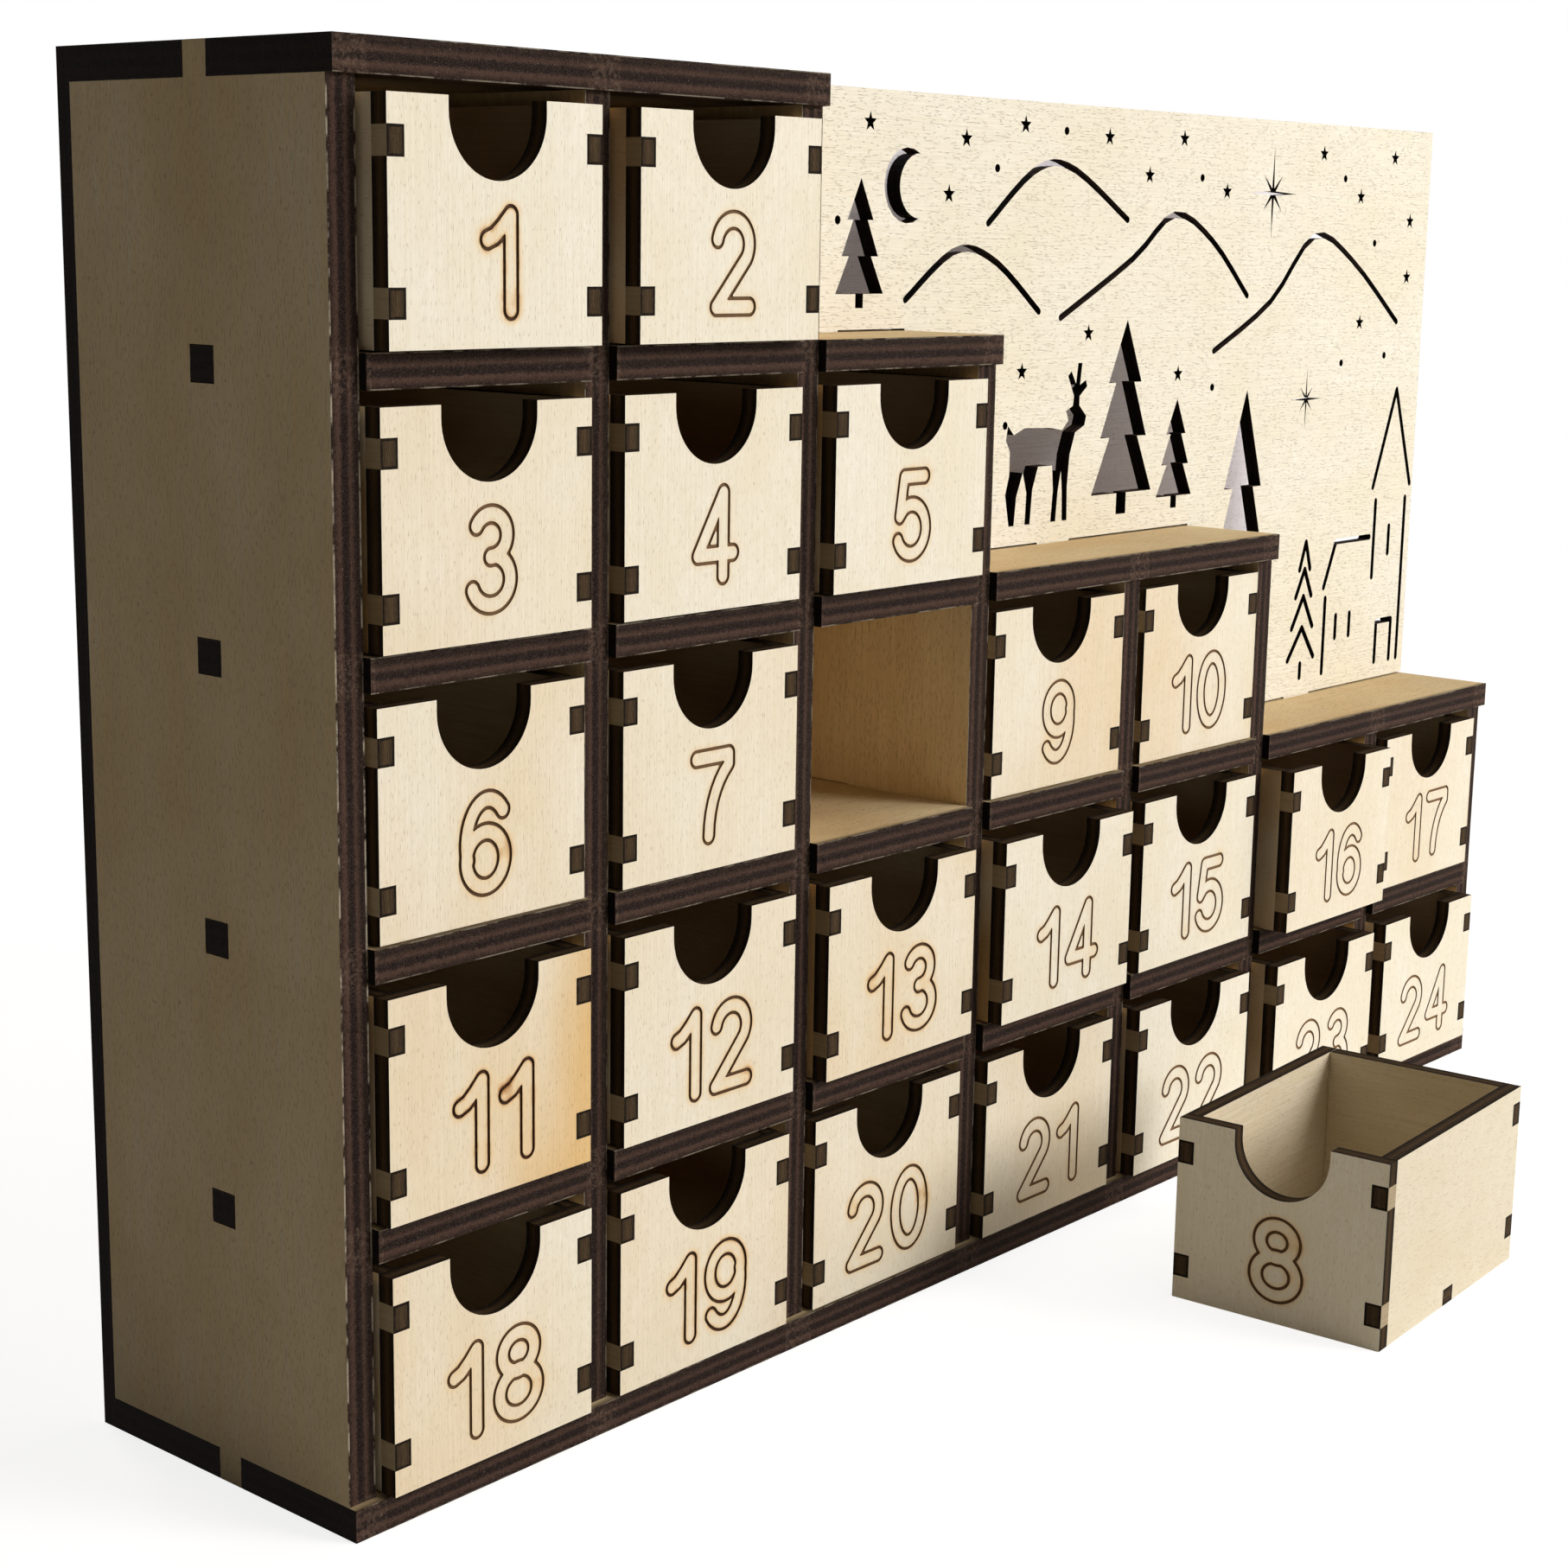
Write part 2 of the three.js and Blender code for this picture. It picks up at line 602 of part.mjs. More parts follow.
for (let level = 0; level <= rows; level += 1) {
  const shelfName = level === 0 ? "bottom_board" : `shelf_${rows - level}`;
  const name = level === rows ? "top_board" : shelfName;
  calendar.add(lay(namedMesh(name, board(level), boardFinish), level * rowPitch));
}
for (let index = 0; index <= columns; index += 1) {
  const innerName = index === 0 ? "left_panel" : `upright_${index}_${index + 1}`;
  const name = index === columns ? "right_wall" : innerName;
  calendar.add(standAlong(namedMesh(name, upright(index), boardFinish), index * columnPitch));
}
const backSheet = cutSheet(rectangle(0, caseWidth, 0, caseHeight), [], sheetThick);
calendar.add(standAcross(namedMesh("back_panel", backSheet, backFinish), caseDepth, sheetThick));
calendar.add(standAcross(namedMesh("scene_panel", scenePanel(), sheetFinish), sceneSetback, sheetThick));

// The drawers, numbered row by row from the top left
let number = 0;
for (let level = rows - 1; level >= 0; level -= 1) {
  for (let column = 0; column < columns; column += 1) {
    if (rowsPerColumn[column] <= level) {
      continue;
    }
    number += 1;
    const name = `drawer_${String(number).padStart(2, "0")}`;
    if (number === looseDrawer) {
      const drawer = new THREE.Group();
      drawer.add(...drawerPanels(name, gluePlay, number));
      drawer.position.set(looseDrawerLeft, -looseDrawerAhead, 0);
      drawer.rotation.z = looseDrawerTurn;
      calendar.add(drawer);
    } else {
      const drawer = namedMesh(name, glued(drawerPanels(name, 0, number)), sheetFinish);
      const left = column * columnPitch + boardThick + drawerSideGap;
      const floor = level * rowPitch + boardThick + drawerLift;
      drawer.position.set(left, -pulledShares[number - 1] * drawerDepth, floor);
      calendar.add(drawer);
    }
  }
}

const model = new THREE.Group();
model.add(calendar);
export default model;
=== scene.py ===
import math
import random

import bpy
from mathutils import Matrix, Vector
from mathutils.kdtree import KDTree


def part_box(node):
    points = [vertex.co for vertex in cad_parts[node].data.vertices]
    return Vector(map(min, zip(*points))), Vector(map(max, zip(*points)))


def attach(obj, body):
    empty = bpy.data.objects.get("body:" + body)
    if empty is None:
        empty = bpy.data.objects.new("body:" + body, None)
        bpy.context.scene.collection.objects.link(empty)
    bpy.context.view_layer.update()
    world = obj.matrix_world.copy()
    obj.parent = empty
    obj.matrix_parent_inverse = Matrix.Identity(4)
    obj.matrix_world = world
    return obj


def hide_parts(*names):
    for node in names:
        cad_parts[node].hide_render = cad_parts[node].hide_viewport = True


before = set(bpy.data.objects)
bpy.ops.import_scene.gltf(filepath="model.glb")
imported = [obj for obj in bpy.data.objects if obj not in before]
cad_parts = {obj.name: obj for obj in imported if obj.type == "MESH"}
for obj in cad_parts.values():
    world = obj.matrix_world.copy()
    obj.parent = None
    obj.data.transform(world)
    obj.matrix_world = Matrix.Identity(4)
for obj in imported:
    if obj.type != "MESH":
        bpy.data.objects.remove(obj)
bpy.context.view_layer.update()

# Laser-cut plywood advent calendar: a stepped case, a cut-out winter scene and 24 numbered drawers
mm = 0.001
random.seed(24)
print("frame loaded:", len(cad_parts), "nodes")


def linear(hexColour):  # sRGB hex to the linear values that sockets take
    parts = [int(hexColour[i:i + 2], 16) / 255 for i in (1, 3, 5)]
    return [p / 12.92 if p <= 0.04045 else ((p + 0.055) / 1.055) ** 2.4 for p in parts] + [1]


def addNode(tree, kind, inputs=None, links=None, **settings):
    node = tree.nodes.new(kind)
    for key, value in settings.items():
        setattr(node, key, value)
    for key, value in (inputs or {}).items():
        node.inputs[key].default_value = value
    for key, socket in (links or {}).items():
        tree.links.new(socket, node.inputs[key])
    return node


def newMaterial(name):
    material = bpy.data.materials.new(name)
    material.use_nodes = True
    tree = material.node_tree
    tree.nodes.clear()
    shader = addNode(tree, "ShaderNodeBsdfPrincipled")
    addNode(tree, "ShaderNodeOutputMaterial", links={"Surface": shader.outputs[0]})
    return material, tree, shader


def mixColours(tree, factor, first, second, blend="MIX"):  # each is a socket or a hex colour
    node = addNode(tree, "ShaderNodeMix", data_type="RGBA", blend_type=blend)
    for key, value in ((0, factor), (6, first), (7, second)):
        if isinstance(value, str):
            node.inputs[key].default_value = linear(value)
        elif isinstance(value, (int, float)):
            node.inputs[key].default_value = value
        else:
            tree.links.new(value, node.inputs[key])
    return node.outputs[2]


def sums(tree, operation, first, second=0.0):
    node = addNode(tree, "ShaderNodeMath", operation=operation)
    for key, value in ((0, first), (1, second)):
        if isinstance(value, (int, float)):
            node.inputs[key].default_value = value
        else:
            tree.links.new(value, node.inputs[key])
    return node.outputs[0]


def tint(tree, colour, mask, share, tone):  # brings the tone in where the mask is 1, as far as its share
    return mixColours(tree, sums(tree, "MULTIPLY", mask, share), colour, tone)


def patches(tree, coords, along, across, detail, low, high):
    # Noise with cells of the given size along and across the grain, spread so that low gives 0 and high gives 1
    stretch = addNode(tree, "ShaderNodeMapping", {"Scale": (1 / along, 1 / across, 1 / across)}, {"Vector": coords})
    noise = addNode(tree, "ShaderNodeTexNoise", {"Scale": 1.0, "Detail": detail, "Roughness": 0.6},
                    {"Vector": stretch.outputs[0]})
    spread = addNode(tree, "ShaderNodeMapRange", {"From Min": low, "From Max": high}, {"Value": noise.outputs[0]})
    return spread.outputs[0]


# Rotary-cut birch veneer, sanded and bare: a pale cream face with long soft grain and tiny brown pores.
# Each pattern is its size along and across the grain, its detail, and the noise values where it starts and is full
birchLook = {
    "base": "#EAE3D3", "shine": 0.15, "relief": 0.03 * mm, "streakRelief": 0.6,
    "streaks": (22 * mm, 0.5 * mm, 3.0, 0.35, 0.65), "grainTone": "#DCD2BA", "grainShare": 0.34,
    "clouds": (22.4 * mm, 14 * mm, 2.0, 0.35, 0.7), "cloudTone": "#E6DCC3", "cloudShare": 0.7,
    "flocks": (2.4 * mm, 1.6 * mm, 2.0, 0.4, 0.65), "flockTone": "#F2EDE2", "flockShare": 0.5,
    "pores": (1.1 * mm, 0.22 * mm, 0.0, 0.68, 0.76), "poreTone": "#A88F6C", "poreShare": 0.28,
    "drift": (70 * mm, 26 * mm, 1.0, 0.3, 0.62), "driftShare": 0.8, "brown": "#EFCF9E",
}
# Inside the drawers the sheet is unsanded and a shade yellower; it darkens to brown where its tone says so, which for
# the drawers seated in the case is painted shade
innerLook = dict(birchLook, base="#EADFC6", cloudTone="#DFD0AE", grainTone="#D0BF9A", flockTone="#ECE3CD",
                 grainShare=0.4, brown="#A07A4C")
# Laser-cut edge of the thick boards: the plies show as charred stripes with ash-grey fibres and a rubbed rim
burntLook = {
    "stripes": ["#20150F", "#2A1C18", "#453229", "#4E3A31", "#1D1311", "#150E0C", "#221714", "#4A372E", "#382921",
                "#1A110F", "#2B1F19", "#150E0B"],
    "shine": 0.04, "relief": 0.1 * mm,
    "wobble": (6 * mm, 0.5 * mm, 1.0, 0.2, 0.8), "wobbleShare": 0.1,
    "fibres": (1.1 * mm, 0.2 * mm, 2.0, 0.4, 0.75), "ash": "#6C5A51", "ashShare": 0.36,
    "chars": (9 * mm, 0.8 * mm, 2.0, 0.5, 0.8), "char": "#0B0807", "charShare": 0.5,
    "nicks": (1.1 * mm, 0.3 * mm, 1.0, 0.74, 0.78), "nick": "#A8998C", "nickShare": 0.5,
    "rubbed": (45 * mm, 4 * mm, 4.0, 0.44, 0.56), "worn": "#A39784", "wornShare": 0.5, "rim": 0.462,
}
# The cut edge of the thin sheet is nearly black along both faces and dark brown between them
thinEdgeLook = dict(burntLook, stripes=["#0E0A08", "#1E150F", "#3C2C1B", "#483622", "#372819", "#1E150F", "#0C0807"],
                    ash="#4E4332", ashShare=0.3, nickShare=0.15, wornShare=0.0)
tabHeartLook = dict(thinEdgeLook, stripes=["#281D15", "#3C2E21", "#4A3A28", "#3D3023", "#281F16"], ash="#64553F")


def birchFigure(tree, grain, look):
    kinds = ("streaks", "clouds", "flocks", "pores")
    streaks, clouds, flocks, pores = (patches(tree, grain, *look[kind]) for kind in kinds)
    colour = tint(tree, look["base"], flocks, look["flockShare"], look["flockTone"])
    colour = tint(tree, colour, clouds, look["cloudShare"], look["cloudTone"])
    colour = tint(tree, colour, streaks, look["grainShare"], look["grainTone"])
    colour = tint(tree, colour, pores, look["poreShare"], look["poreTone"])
    height = sums(tree, "SUBTRACT", sums(tree, "MULTIPLY", streaks, look["streakRelief"]), pores)
    return colour, height


def burntFigure(tree, edge, layer, look):
    # edge runs along the cut in X and Y, layer goes from 0 to 1 through the sheet
    wobble = sums(tree, "SUBTRACT", patches(tree, edge, *look["wobble"]), 0.5)
    shifted = sums(tree, "ADD", layer, sums(tree, "MULTIPLY", wobble, look["wobbleShare"]))
    ramp = addNode(tree, "ShaderNodeValToRGB", links={"Fac": shifted})
    stops = ramp.color_ramp.elements
    last = len(look["stripes"]) - 1
    while len(stops) <= last:
        stops.new(0.5)
    for index, tone in enumerate(look["stripes"]):
        stops[index].position = index / last
        stops[index].color = linear(tone)
    kinds = ("fibres", "chars", "nicks", "rubbed")
    fibres, chars, nicks, rubbed = (patches(tree, edge, *look[kind]) for kind in kinds)
    colour = tint(tree, ramp.outputs[0], fibres, look["ashShare"], look["ash"])
    colour = tint(tree, colour, chars, look["charShare"], look["char"])
    colour = tint(tree, colour, nicks, look["nickShare"], look["nick"])
    # The outermost veneer is rubbed pale in places along the corners
    rim = sums(tree, "GREATER_THAN", sums(tree, "ABSOLUTE", sums(tree, "SUBTRACT", layer, 0.5)), look["rim"])
    colour = tint(tree, colour, sums(tree, "MULTIPLY", rim, rubbed), look["wornShare"], look["worn"])
    return colour, fibres


def finishSurface(tree, shader, colour, rough, height, relief, shine):
    tree.links.new(colour, shader.inputs["Base Color"])
    if isinstance(rough, float):
        shader.inputs["Roughness"].default_value = rough
    else:
        tree.links.new(rough, shader.inputs["Roughness"])
    shader.inputs["Specular IOR Level"].default_value = shine
    bump = addNode(tree, "ShaderNodeBump", {"Strength": 1.0, "Distance": relief}, {"Height": height})
    tree.links.new(bump.outputs[0], shader.inputs["Normal"])


# A case board in one material: bare birch on its two faces, burnt wherever the laser cut it
caseLook = {
    "board": 5 * mm, "sheet": 3 * mm, "columnPitch": 47.5 * mm, "rowPitch": 41 * mm,
    "faceRough": 0.62, "edgeRough": 0.75, "thinEdgeRough": 0.78, "rawRough": 0.7, "grooveRough": 0.8,
    "singe": 1.5 * mm, "singeShare": 0.85,
    # painted shade under the boards: full near the front edge, gone further back; its dark brown also tints the laser
    # singe along the front edges
    "smokeFull": 7 * mm, "smokeEnd": 28 * mm, "smokeShare": 0.95, "smokeTone": "#3A281B",
    "endChar": "#0B0807", "endShare": 0.92,
    "lapRub": 0.8 * mm, "scuffs": (1.6 * mm, 0.7 * mm, 2.0, 0.45, 0.65), "lapTone": "#80695A", "lapShare": 0.3,
}
axisX, axisY, axisZ = 0, 1, 2
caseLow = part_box("bottom_board")[0]


def fadeBack(tree, y, share, full, end):
    # The share holds from the case's front edge as far back as full, and is gone at end
    fade = addNode(tree, "ShaderNodeMapRange", {"From Min": caseLow[axisY] + full, "From Max": caseLow[axisY] + end,
                                                "To Min": share, "To Max": 0.0}, {"Value": y})
    return fade.outputs[0]


def boardMaterial(name, order, start, pitch, thickness, faceLook, edgeLook, smoked=False, rearLook=None):
    # order names the axes along the grain, across it and through the board
    material, tree, shader = newMaterial(name)
    place = addNode(tree, "ShaderNodeTexCoord")
    parts = addNode(tree, "ShaderNodeSeparateXYZ", links={0: place.outputs["Object"]})
    facing = addNode(tree, "ShaderNodeSeparateXYZ", links={0: place.outputs["Normal"]})
    along, across, through = (parts.outputs[axis] for axis in order)
    grain = addNode(tree, "ShaderNodeCombineXYZ", links={0: along, 1: across, 2: through})
    depth = sums(tree, "SUBTRACT", through, start)
    layer = sums(tree, "DIVIDE", sums(tree, "MODULO", depth, pitch), thickness)
    run = sums(tree, "ADD", along, across)
    edge = addNode(tree, "ShaderNodeCombineXYZ", links={0: run, 1: depth, 2: sums(tree, "SUBTRACT", along, across)})
    isFace = sums(tree, "GREATER_THAN", sums(tree, "ABSOLUTE", facing.outputs[order[2]]), 0.5)
    faceColour, faceHeight = birchFigure(tree, grain.outputs[0], faceLook)
    if rearLook:  # the side that looks away from the drawers
        rearward = sums(tree, "GREATER_THAN", facing.outputs[order[2]], 0.5)
        faceColour = mixColours(tree, rearward, faceColour, birchFigure(tree, grain.outputs[0], rearLook)[0])
    singe = fadeBack(tree, parts.outputs[axisY], caseLook["singeShare"], 0, caseLook["singe"])
    faceColour = mixColours(tree, singe, faceColour, caseLook["smokeTone"])
    if smoked:  # painted shade: the undersides are darkened to dark brown behind the front edge, fading out further back
        below = sums(tree, "LESS_THAN", facing.outputs[axisZ], -0.5)
        smoke = fadeBack(tree, parts.outputs[axisY], caseLook["smokeShare"],
                         caseLook["smokeFull"], caseLook["smokeEnd"])
        faceColour = mixColours(tree, sums(tree, "MULTIPLY", below, smoke), faceColour, caseLook["smokeTone"])
    edgeColour, edgeHeight = burntFigure(tree, edge.outputs[0], layer, edgeLook)
    # Where a shelf and an upright lap, the charred corners are rubbed paler
    rub = caseLook["lapRub"]
    laps = []
    for axis, step in ((axisX, caseLook["columnPitch"]), (axisZ, caseLook["rowPitch"])):
        offset = sums(tree, "MODULO", sums(tree, "SUBTRACT", parts.outputs[axis], caseLow[axis] - rub), step)
        laps.append(sums(tree, "LESS_THAN", offset, caseLook["board"] + 2 * rub))
    scuffs = patches(tree, edge.outputs[0], *caseLook["scuffs"])
    scuffs = sums(tree, "MULTIPLY", sums(tree, "MULTIPLY", laps[0], laps[1]), scuffs)
    edgeColour = tint(tree, edgeColour, scuffs, caseLook["lapShare"], caseLook["lapTone"])
    # End grain chars blacker than the long edges
    endGrain = sums(tree, "GREATER_THAN", sums(tree, "ABSOLUTE", facing.outputs[order[0]]), 0.5)
    edgeColour = tint(tree, edgeColour, endGrain, caseLook["endShare"], caseLook["endChar"])
    colour = mixColours(tree, isFace, edgeColour, faceColour)
    rough = addNode(tree, "ShaderNodeMapRange", {"To Min": caseLook["edgeRough"], "To Max": caseLook["faceRough"]},
                    {"Value": isFace})
    height = addNode(tree, "ShaderNodeMix", data_type="FLOAT", links={0: isFace, 2: edgeHeight, 3: faceHeight})
    finishSurface(tree, shader, colour, rough.outputs[0], height.outputs[0], edgeLook["relief"], edgeLook["shine"])
    return material


def pointValue(tree, name):
    return addNode(tree, "ShaderNodeAttribute", attribute_name=name).outputs["Fac"]


def sheetMaterial(name, look, isEdge=False, rough=caseLook["faceRough"]):
    # For pieces that carry their own place in the sheet: along the grain, across it, through it
    material, tree, shader = newMaterial(name)
    place = addNode(tree, "ShaderNodeAttribute", attribute_name="sheet").outputs["Vector"]
    if isEdge:
        parts = addNode(tree, "ShaderNodeSeparateXYZ", links={0: place})
        run = sums(tree, "ADD", parts.outputs[0], parts.outputs[1])
        edge = addNode(tree, "ShaderNodeCombineXYZ", links={0: run, 1: parts.outputs[2]})
        layer = sums(tree, "DIVIDE", parts.outputs[2], caseLook["sheet"])
        colour, height = burntFigure(tree, edge.outputs[0], layer, look)
    else:
        colour, height = birchFigure(tree, place, look)
        # Each panel is cut from a paler or a browner part of the sheet
        drift = sums(tree, "MULTIPLY", patches(tree, place, *look["drift"]), look["driftShare"])
        tone = sums(tree, "MULTIPLY", pointValue(tree, "tone"), sums(tree, "ADD", drift, 1 - look["driftShare"]))
        colour = mixColours(tree, tone, colour, mixColours(tree, 1.0, colour, look["brown"], "MULTIPLY"))
    if look.get("groove"):  # the line is brown where the beam was weak, nearly black where it was strong
        colour = mixColours(tree, sums(tree, "SUBTRACT", 1.0, pointValue(tree, "burn")), colour, look["groove"])
    if look.get("smoke"):  # scorched beside the engraved lines, and where the laser dwelt
        smoke = sums(tree, "MULTIPLY", patches(tree, place, *look["smoke"]), look["smokeShare"])
        smoke = sums(tree, "ADD", smoke, 1 - look["smokeShare"])
        smoke = sums(tree, "MULTIPLY", smoke, pointValue(tree, "burn"))
        warm = sums(tree, "MULTIPLY", pointValue(tree, "scorch"), smoke)
        for tone, start, end in look["scorchTones"]:
            part = addNode(tree, "ShaderNodeMapRange", {"From Min": start, "From Max": end}, {"Value": warm})
            colour = mixColours(tree, part.outputs[0], colour, tone)
    finishSurface(tree, shader, colour, rough, height, look["relief"], look["shine"])
    return material


# Birch ply, 5 mm, lying flat: yellower veneer than the thin sheet's, with broad clouds
thickLook = dict(birchLook, base="#E0CA9E", cloudTone="#CDAD7F", grainTone="#C2A475", flockTone="#D8C4A1",
                 grainShare=0.36, clouds=(35.2 * mm, 22 * mm, 2.0, 0.35, 0.7), cloudShare=0.75)
lyingPly = boardMaterial("thick birch ply lying flat", (axisX, axisY, axisZ), caseLow[2],
                         caseLook["rowPitch"], caseLook["board"], thickLook, burntLook, smoked=True)
# The same ply standing, painted warmer and paler than the lying boards: painted bounce light that makes the open
# cubby glow
paintedGlowUprightLook = dict(thickLook, base="#EAD2A4", cloudTone="#D7B888", grainTone="#CAAB7B", flockTone="#E2CBA4")
standingPly = boardMaterial("thick birch ply standing", (axisZ, axisY, axisX), caseLow[0],
                            caseLook["columnPitch"], caseLook["board"], paintedGlowUprightLook, burntLook)
# The left end is painted greyer and darker than the other boards, as painted shade on the side that looks away from
# the light, and its corners are rubbed to bare wood
shadedEndLook = dict(thickLook, base="#BFB196", cloudTone="#AD9776", flockTone="#B8A98E")
endPly = boardMaterial("thick birch ply of the left end", (axisZ, axisY, axisX), caseLow[0],
                       caseLook["columnPitch"], caseLook["board"], shadedEndLook, dict(burntLook, wornShare=0.95, rim=0.44))
# Birch ply, 3 mm: the scene's sheet is the calmest one, with faint grain
sceneLook = dict(birchLook, grainShare=0.2, poreShare=0.1, clouds=(38.4 * mm, 24 * mm, 2.0, 0.35, 0.7))
scenePly = boardMaterial("thin birch ply of the scene", (axisX, axisZ, axisY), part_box("scene_panel")[0][1],
                         1.0, caseLook["sheet"], sceneLook, burntLook)
# The back sheet has a matt grey-violet wash inside, which shows through the cut-outs, and bare birch behind
washLook = dict(birchLook, base="#E8E4EA", cloudTone="#E0DBE2", grainTone="#D2CDD5", poreTone="#A8A2A8",
                flockTone="#EAE6EC")
backPly = boardMaterial("thin ply with a grey wash inside", (axisX, axisZ, axisY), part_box("back_panel")[0][1],
                        1.0, caseLook["sheet"], washLook, burntLook, rearLook=birchLook)
# Sanded drawer fronts. Beside the engraving birch turns straw, then tan, then dark brown as the beam heats it:
# colour, heat where it starts and where it is full
faceLook = dict(birchLook, smoke=(3 * mm, 3 * mm, 3.0, 0.3, 0.6), smokeShare=0.6,
                scorchTones=(("#E3C79C", 0.05, 0.45), ("#B07C48", 0.35, 0.85), ("#5A381D", 0.8, 1.3)))
facePly = sheetMaterial("thin birch ply face", faceLook)
# Drawer sides: bare birch, a little duller than the fronts, browned as painted shade on the drawers seated in the
# case
sideLook = dict(birchLook, base="#DED4BF", flockTone="#E6DECD", cloudTone="#DACEB2", brown="#C8A474")
sidePly = sheetMaterial("thin birch ply side", sideLook)
# Inside of a drawer: duller and yellower, with painted shade browning it in the drawers seated in the case, behind
# the finger notch
innerPly = sheetMaterial("unsanded ply inside", innerLook, rough=caseLook["rawRough"])
# Cut edges of the thin sheet: a matt black-brown line round every panel
edgePly = sheetMaterial("laser-burnt ply edge", thinEdgeLook, True, caseLook["thinEdgeRough"])
# End of a tab: a dark brown middle
tabHeart = sheetMaterial("brown heart of a tab end", tabHeartLook, True, caseLook["thinEdgeRough"])
# and the nearly black rim round it
rimLook = dict(thinEdgeLook, stripes=["#0E0A08", "#17110D", "#1B140F", "#140E0B"])
charredRim = sheetMaterial("charred rim", rimLook, True, caseLook["thinEdgeRough"])
# The small front tabs are painted a darker brown: the smoke of the cuts round them, and painted shade on their sides
singedAndShadedLook = dict(birchLook, base="#AD9C80", flockTone="#B8A88C", cloudTone="#9A886B", grainTone="#857358",
                  brown="#D8CBB8")
singedAndShadedTab = sheetMaterial("singed tab", singedAndShadedLook, rough=caseLook["rawRough"])
# Engraved line: dark brown and dull, paler where the beam was weak
lineLook = dict(birchLook, base="#3E2513", flockTone="#321C0E", cloudTone="#563720", grainTone="#28170D",
                grainShare=0.6, groove="#8A6A48")
scorchedLine = sheetMaterial("engraved line", lineLook, rough=caseLook["grooveRough"])
print("materials ready")

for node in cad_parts:
    if node.startswith("drawer"):
        continue
    finish = standingPly if node.startswith(("upright", "right_wall")) else lyingPly
    finish = {"scene_panel": scenePly, "back_panel": backPly, "left_panel": endPly}.get(node, finish)
    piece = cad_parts[node]
    piece.data.materials.clear()
    piece.data.materials.append(finish)
print("case finished")


# The drawer's own frame starts at its front left bottom corner
drawer = {
    "sheet": 3 * mm, "kerf": 0.06 * mm,
    "tabHeight": 4.1 * mm, "frontTabInset": 6.2 * mm, "rearTabDrop": 5 * mm, "rearTabRise": 6.7 * mm,
    "floorTab": 4 * mm, "fingerWidth": 18.2 * mm, "fingerDepth": 11 * mm, "fingerSides": 64, "overrun": 1 * mm,
    "scorchCell": 0.5 * mm, "rim": 0.35 * mm, "flatAngle": math.radians(1),
}
onPlane = 1e-7  # points as near as this to a cutting plane count as on it
drawerLow, drawerHigh = (Vector(corner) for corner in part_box("drawer_01"))
width, depth, height = drawerHigh - drawerLow


def clearSelection():
    if bpy.context.object and bpy.context.object.mode != "OBJECT":
        bpy.ops.object.mode_set(mode="OBJECT")
    bpy.ops.object.select_all(action="DESELECT")


def addBlock(low, high):
    clearSelection()
    low, high = Vector(low), Vector(high)
    bpy.ops.mesh.primitive_cube_add(size=1, location=(low + high) / 2)
    block = bpy.context.object
    block.scale = high - low
    bpy.ops.object.transform_apply(location=True, rotation=True, scale=True)
    return block


def joined(pieces):
    clearSelection()
    for piece in pieces:
        piece.select_set(True)
    bpy.context.view_layer.objects.active = pieces[0]
    if len(pieces) > 1:
        bpy.ops.object.join()
    return pieces[0]


def cutAway(piece, cutters):
    cutter = joined(cutters)
    clearSelection()
    piece.select_set(True)
    bpy.context.view_layer.objects.active = piece
    cut = piece.modifiers.new("cut", "BOOLEAN")
    cut.operation = "DIFFERENCE"
    cut.solver = "MANIFOLD"
    cut.object = cutter
    bpy.ops.object.modifier_apply(modifier="cut")
    bpy.data.objects.remove(cutter)
    return piece


def setSheetPlace(piece, origin, order):  # where each point lies: along the grain, across it, through the sheet
    points = [point.co - Vector(origin) for point in piece.data.vertices]
    places = [value for point in points for value in (point[order[0]], point[order[1]], point[order[2]])]
    layer = piece.data.attributes.new("sheet", "FLOAT_VECTOR", "POINT")
    layer.data.foreach_set("vector", places)


finishes = [facePly, edgePly, scorchedLine, innerPly, charredRim, tabHeart, sidePly, singedAndShadedTab]


def finishFaces(piece, axis, outward, outside=facePly):  # outward is the side, -1 or 1, that looks out of the drawer
    piece.data.materials.clear()
    for finish in finishes:
        piece.data.materials.append(finish)
    for face in piece.data.polygons:
        side = face.normal[axis] * outward
        chosen = outside if side > 0.5 else innerPly if side < -0.5 else edgePly
        face.material_index = finishes.index(chosen)


def charTabEnds(piece, axis):  # the ends that show get a charred rim round a brown heart
    clearSelection()
    bpy.context.view_layer.objects.active = piece
    bpy.ops.object.mode_set(mode="EDIT")
    bpy.ops.mesh.select_all(action="DESELECT")
    bpy.ops.object.mode_set(mode="OBJECT")
    ends = [point.co[axis] for point in piece.data.vertices]
    for face in piece.data.polygons:
        outside = min(abs(face.center[axis] - limit) for limit in (min(ends), max(ends))) < 0.1 * drawer["kerf"]
        face.select = outside and abs(face.normal[axis]) > 0.5
        if face.select:
            face.material_index = finishes.index(charredRim)
    bpy.ops.object.mode_set(mode="EDIT")
    bpy.ops.mesh.inset(thickness=drawer["rim"], depth=0, use_individual=True)
    bpy.ops.object.mode_set(mode="OBJECT")
    for face in piece.data.polygons:
        if face.select:
            face.material_index = finishes.index(tabHeart)


